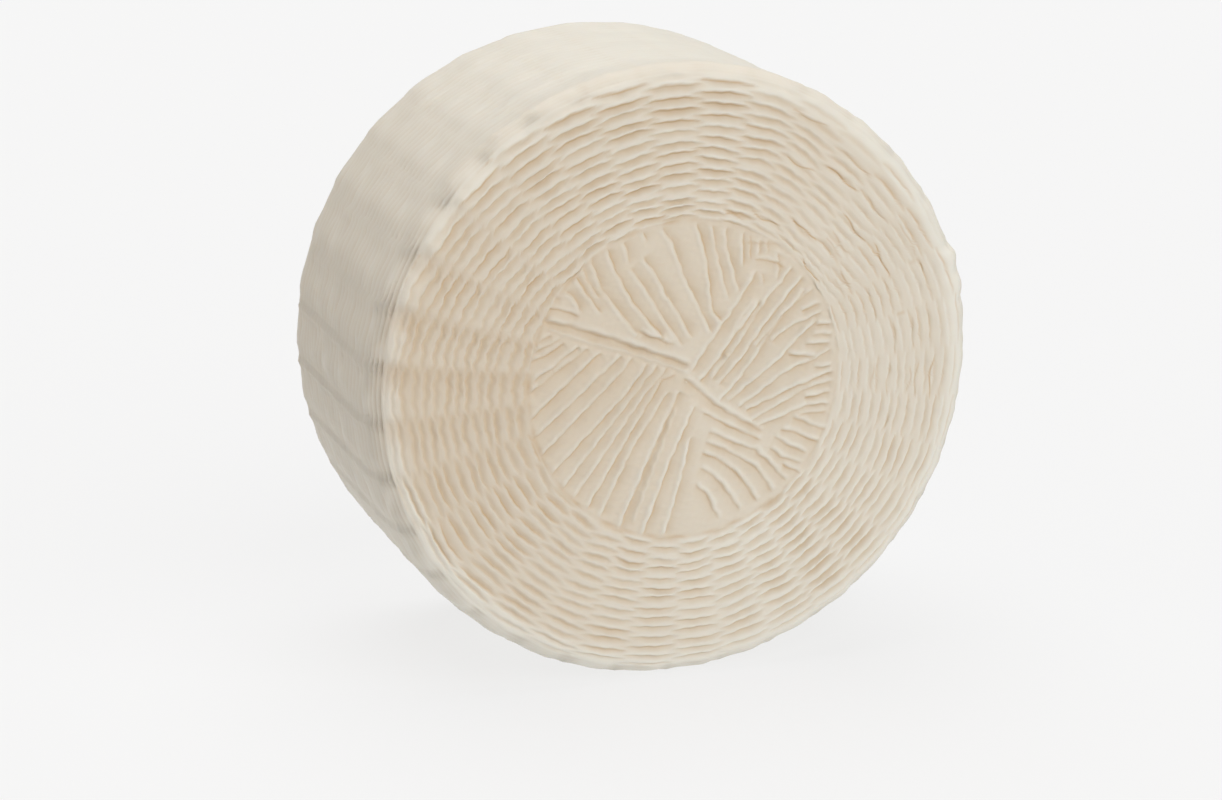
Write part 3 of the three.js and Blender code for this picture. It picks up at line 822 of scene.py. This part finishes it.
def side_rings():
    """Rings of the front corner, the rim and the back corner. The front corner's lie by turns on a crest
    and in a trough of the print, and the rim's step through it as a cosine."""
    first = RING_INNER + ROWS * ROW_PITCH + CORNER_STEP
    runs = np.arange(first, RIM_START, CORNER_STEP)
    corner = [rim_ring(run, CORNER_SIDES, 1 - 2 * (n % 2)) for n, run in enumerate(runs)]
    count = RINGS_PER_RIM_PRINT * round(RIM_LENGTH / RIM_RING_PITCH)
    step = RIM_LENGTH / count
    levels = np.cos(TURN * np.arange(count) / RINGS_PER_RIM_PRINT)
    rim = [rim_ring(RIM_START + step * (n + 0.5), RIM_SIDES, levels[n]) for n in range(count)]
    back_runs = np.arange(RIM_END + 1, BACK_START, BACK_CORNER_STEP)
    back = [rim_ring(run, BACK_SIDES, 0) for run in back_runs]
    return corner + rim + back


def back_rings():
    """Rings of the back, from its corner in to the middle."""
    first = int((BACK_FLAT - BACK_DISC_RADIUS) / (ROW_PITCH / 2))
    woven = [back_ring(half_rows, BACK_SIDES) for half_rows in range(first, -1, -1)]
    disc = []
    for radius in np.arange(BACK_DISC_RADIUS - 1.2, BACK_DISC_STEP / 2, -BACK_DISC_STEP):
        sides = max(FEWEST_SIDES, round(TURN * radius / BACK_DISC_STEP))
        disc.append(back_disc_ring(radius, sides))
    return woven + disc


def zip_rings(first, second, first_base, second_base):
    """Triangles between two closed rings of any numbers of points. An edge of one ring meets the point
    of the other that lies between the middles of the other's edges. Where middles fall together, the
    tie keeps the two rings' choices in step."""
    tie = 1e-9
    first_middles = (np.arange(first) + 0.5) / first
    second_middles = (np.arange(second) + 0.5) / second
    first_apex = np.searchsorted(second_middles, first_middles - tie) % second
    second_apex = np.searchsorted(first_middles, second_middles + tie) % first
    own = np.arange(first)
    other = np.arange(second)
    other_next = second_base + (other + 1) % second
    inner = np.stack([first_base + own, second_base + first_apex, first_base + (own + 1) % first], 1)
    outer = np.stack([second_base + other, other_next, first_base + second_apex], 1)
    return np.concatenate([inner, outer])


def fan(size, base, middle, outwards):
    """Triangles that close a ring on a middle point."""
    own = base + np.arange(size)
    following = base + (np.arange(size) + 1) % size
    middles = np.full(size, middle)
    return np.stack([own, following, middles] if outwards else [following, own, middles], 1)


def in_scene(name, data):
    """A new object of the data, linked to the scene."""
    made = bpy.data.objects.new(name, data)
    bpy.context.scene.collection.objects.link(made)
    return made


def smooth_mesh(name, points, triangles, fields):
    """A smooth-shaded mesh object at the origin, in metres, with one float per point for each field."""
    mesh = bpy.data.meshes.new(name)
    mesh.vertices.add(len(points))
    mesh.vertices.foreach_set("co", (points * MM).astype(np.float32).ravel())
    mesh.loops.add(triangles.size)
    mesh.loops.foreach_set("vertex_index", triangles.astype(np.int32).ravel())
    mesh.polygons.add(len(triangles))
    mesh.polygons.foreach_set("loop_start", np.arange(0, triangles.size, 3, dtype=np.int32))
    mesh.polygons.foreach_set("use_smooth", np.ones(len(triangles), bool))
    mesh.update(calc_edges=True)
    mesh.validate()
    for field, values in fields.items():
        layer = mesh.attributes.new(field, "FLOAT", "POINT")
        layer.data.foreach_set("value", values.astype(np.float32))
    return in_scene(name, mesh)


def painted_shade_field(angle, run):
    """How much painted shade lies on the skin: its table's value on the face, less on the disc, and on
    the left more where a leaning brick lies low. It ends at the corner, except on the left, where it
    goes on between the scallops. The corner at the top, the left edge and the left rim get a little of
    it too."""
    _, across = columns_of(angle)
    off_disc = rise(50, 54, run)
    painted_shade = around(angle, PAINTED_SHADE) + 0.3 * near(angle, *SHADE_STREAKS) * (0.5 - saw(across)) * off_disc
    scallops = rise(0.15, 0.5, across) * rise(0, 0.25, 1 - across) * bell(run - FRONT_FLAT - 3, 4)
    held_on = near(angle, *SHADE_CORNER) * (1 - 0.6 * scallops)
    held_on *= 1 - rise(FRONT_FLAT + 3, FRONT_FLAT + 12, run)
    edge = rise(FRONT_FLAT - 3, FRONT_FLAT + 3, run)
    painted_shade *= (0.55 + 0.45 * off_disc) * (1 - edge * (1 - held_on))
    painted_shade += 0.1 * near(angle, *SHADE_RIM) * rise(FRONT_FLAT + 6, FRONT_FLAT + 12, run)
    painted_shade += 0.26 * near(angle, *SHADE_TOP) * bell(run - FRONT_FLAT - 8.5, 5.0)
    painted_shade += 0.1 * near(angle, *SHADE_EDGE) * bell(run - FRONT_FLAT, 4.0)
    return painted_shade


def make_wheel():
    """The whole skin as one closed mesh: all rings in order, zipped, with a fan at each end. The two
    middle points come last."""
    rings = front_rings() + side_rings() + back_rings()
    angle, run, height, hollow, tear_and_shade = (np.concatenate(parts) for parts in zip(*rings))
    front_middle = place(0.0, np.array(0.0), DISC_LEVEL)
    back_middle = place(0.0, np.array(BACK_START + BACK_FLAT), BACK_DISC_LEVEL)
    points = np.concatenate([place(angle, run, height), [front_middle, back_middle]])
    sizes = [len(ring[0]) for ring in rings]
    bases = np.concatenate([[0], np.cumsum(sizes)])
    triangles = [fan(sizes[0], 0, bases[-1], True)]
    for number in range(len(sizes) - 1):
        triangles.append(zip_rings(sizes[number], sizes[number + 1], bases[number], bases[number + 1]))
    triangles.append(fan(sizes[-1], bases[-2], bases[-1] + 1, False))
    # The fields hold painted shade: tan in hollows, paler crests as a painted highlight, brown torn
    # lines with painted shade, and grey on the left and at the corner.
    fields = {
        "hollow": np.append(hollow, [0.2, 0.2]),
        "tear_and_shade": np.append(tear_and_shade, [0.0, 0.0]),
        "painted_shade": np.append(painted_shade_field(angle, run), [0.2, 0.0]),
    }
    return smooth_mesh("basket_printed_wheel", stand(points), np.concatenate(triangles), fields)


# --- finish ---

def linear(hex_colour):
    """sRGB hex to linear RGBA."""
    channels = [int(hex_colour[i:i + 2], 16) / 255 for i in (1, 3, 5)]
    spread = [c / 12.92 if c <= 0.04045 else ((c + 0.055) / 1.055) ** 2.4 for c in channels]
    return (*spread, 1.0)


def add(tree, kind, links=None, values=None, **settings):
    """Adds a shader node with its settings, its sockets' values, and links from other nodes' outputs."""
    node = tree.nodes.new("ShaderNode" + kind)
    for name, value in settings.items():
        setattr(node, name, value)
    for socket, value in (values or {}).items():
        node.inputs[socket].default_value = value
    for socket, source in (links or {}).items():
        tree.links.new(source, node.inputs[socket])
    return node


def tinted(tree, share, base, hex_colour):
    """A base colour mixed with another by a share."""
    mix = add(tree, "Mix", {"Factor": share, "A": base}, {"B": linear(hex_colour)},
              data_type="RGBA")
    return mix.outputs["Result"]


# The tan paints shade in hollows, the grey paints shade on the left and at the corner, and the brown
# marks torn lines with painted shade in them.
IVORY = "#D9D5CA"
PALER_IVORY = "#E1DDD2"
SHADE_GREY = "#BEAC95"
GROOVE_SHADE_TAN = "#CAB89F"
TORN_AND_SHADE_BROWN = "#BC9868"
TAN_SHARE = 0.85            # how much of the tan and the brown shows where a groove or a tear is deepest
TORN_AND_SHADE_SHARE = 0.7
BLOTCH_SIZE = 0.022         # metres, as are the grain's size and height
GRAIN_SIZE = 0.0016
GRAIN_HEIGHT = 0.00014


def fresh_cheese_rind():
    """Fresh sheep's-milk rind, pressed in a rush basket: ivory and satin, translucent enough to soften
    small shadows. Grooves and other hollows are tan with painted shade, crests paler as a painted
    highlight, torn lines browner with painted shade in them, the left side and parts of the corner
    greyer with painted shade, and the curd is faintly mottled."""
    material = bpy.data.materials.new("fresh_basket_pressed_rind")
    material.use_nodes = True
    tree = material.node_tree
    tree.nodes.clear()
    where = add(tree, "TexCoord").outputs["Object"]
    hollow, tear_and_shade, painted_shade = (
        add(tree, "Attribute", attribute_name=field).outputs["Fac"]
        for field in ("hollow", "tear_and_shade", "painted_shade")
    )
    blotch, grain = (
        add(tree, "TexNoise", {"Vector": where}, {"Scale": 1 / size, "Detail": 3.0})
        for size in (BLOTCH_SIZE, GRAIN_SIZE)
    )
    ivory = add(tree, "Mix", {"Factor": blotch.outputs["Fac"]},
                {"A": linear(IVORY), "B": linear(PALER_IVORY)}, data_type="RGBA")
    # The torn share paints brown torn lines with painted shade in their cracks and along the grooves'
    # feet.
    groove_shade, torn = (
        add(tree, "Math", {0: field}, {1: share}, operation="MULTIPLY", use_clamp=True)
        for field, share in ((hollow, TAN_SHARE), (tear_and_shade, TORN_AND_SHADE_SHARE))
    )
    # Painted shade: grey on the left and at the corner, tan in the hollows, brown along torn lines and
    # the grooves' feet.
    colour = tinted(tree, painted_shade, ivory.outputs["Result"], SHADE_GREY)
    colour = tinted(tree, groove_shade.outputs[0], colour, GROOVE_SHADE_TAN)
    colour = tinted(tree, torn.outputs[0], colour, TORN_AND_SHADE_BROWN)
    bump = add(tree, "Bump", {"Height": grain.outputs["Fac"]},
               {"Strength": 0.5, "Distance": GRAIN_HEIGHT})
    shader = add(tree, "BsdfPrincipled",
                 {"Base Color": colour, "Normal": bump.outputs["Normal"]},
                 {"Roughness": 0.55, "IOR": 1.42, "Specular IOR Level": 0.2,
                  "Subsurface Weight": 0.08, "Subsurface Radius": (1.0, 0.62, 0.34),
                  "Subsurface Scale": 0.0012})
    add(tree, "OutputMaterial", {"Surface": shader.outputs["BSDF"]})
    return material


# --- stage ---

FLOOR_REACH = 30.0          # metres, past the camera's view all round
FLOOR_GREY = 0.15
FLOOR_GLOW = 0.74
BACKDROP = "#F6F6F6"
SKY_LIGHT = 0.14
# Broad lamps: name, heading from the front and height in degrees, strength, width in degrees, colour.
LAMPS = [
    ("overhead_lamp", 180, 76, 0.66, 60, (1, 1, 1)),
    ("front_lamp", 20, 30, 0.59, 60, (1, 1, 1)),
    ("left_fill", -80, 35, 0.15, 60, (1, 0.86, 0.74)),
]


def make_floor():
    """A pale matte floor, lit from below like a light table so that shadows on it stay faint. It is
    flat to past the view's edge."""
    mesh = bpy.data.meshes.new("pale_floor")
    corners = [(FLOOR_REACH * x, FLOOR_REACH * y, 0) for x, y in ((-1, -1), (1, -1), (1, 1), (-1, 1))]
    mesh.from_pydata(corners, [], [(0, 1, 2, 3)])
    floor = in_scene("pale_floor", mesh)
    material = bpy.data.materials.new("lit_white_table")
    material.use_nodes = True
    shader = material.node_tree.nodes["Principled BSDF"]
    for socket, value in (
        ("Base Color", (FLOOR_GREY, FLOOR_GREY, FLOOR_GREY, 1)),
        ("Roughness", 0.9),
        ("Specular IOR Level", 0.1),
        ("Emission Color", (1, 1, 1, 1)),
        ("Emission Strength", FLOOR_GLOW),
    ):
        shader.inputs[socket].default_value = value
    floor.data.materials.append(material)


def make_light():
    """Even light from all round, with a backdrop as pale as the floor, and three broad lamps: one
    overhead and a little behind, one low in front, and a faint warm one on the left."""
    world = bpy.data.worlds.new("studio")
    world.use_nodes = True
    tree = world.node_tree
    tree.nodes.clear()
    ray = add(tree, "LightPath")
    light = add(tree, "Background", values={"Color": (1, 1, 1, 1), "Strength": SKY_LIGHT})
    seen = add(tree, "Background", values={"Color": linear(BACKDROP), "Strength": 1.0})
    mix = add(tree, "MixShader", {0: ray.outputs["Is Camera Ray"],
                                            1: light.outputs[0], 2: seen.outputs[0]})
    add(tree, "OutputWorld", {"Surface": mix.outputs[0]})
    bpy.context.scene.world = world
    for name, heading_deg, height_deg, strength, width_deg, colour in LAMPS:
        data = bpy.data.lights.new(name, "SUN")
        data.color = colour
        data.energy = strength * math.pi
        data.angle = math.radians(width_deg)
        lamp = in_scene(name, data)
        lamp.rotation_euler = (math.radians(90 - height_deg), 0, math.radians(heading_deg))


# The camera stands in front, a little to the left and above, level across.
CAMERA_TURN = math.radians(-18.09)
CAMERA_TILT = math.radians(12.57)
CAMERA_OFFSET = Vector((-208.0, -561.4, 129.2))   # from the middle of the front face
LENS = 56.18
SENSOR_WIDTH = 36.0


def make_camera():
    """The photograph's view: a rotation from two angles, at a place measured from the front face."""
    data = bpy.data.cameras.new("view")
    data.lens = LENS
    data.sensor_width = SENSOR_WIDTH
    data.clip_end = 100
    camera = in_scene("view", data)
    face = Vector((AXIS_X, AXIS_Y, FRONT_RADIUS * math.cos(TAPER) - FOOT_CUT))
    camera.location = (face + CAMERA_OFFSET) * MM
    camera.rotation_mode = "XYZ"
    camera.rotation_euler = (math.pi / 2 - CAMERA_TILT, 0, CAMERA_TURN)
    bpy.context.scene.camera = camera


def main():
    """Sets the stage, makes the wheel, hangs it on the root body and hides the solid that it replaces.
    """
    scene = bpy.context.scene
    scene.view_settings.view_transform = "Standard"
    make_camera()
    make_floor()
    make_light()
    wheel = make_wheel()
    wheel.data.materials.append(fresh_cheese_rind())
    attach(wheel, "root")
    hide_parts(WHEEL_NODE)


main()
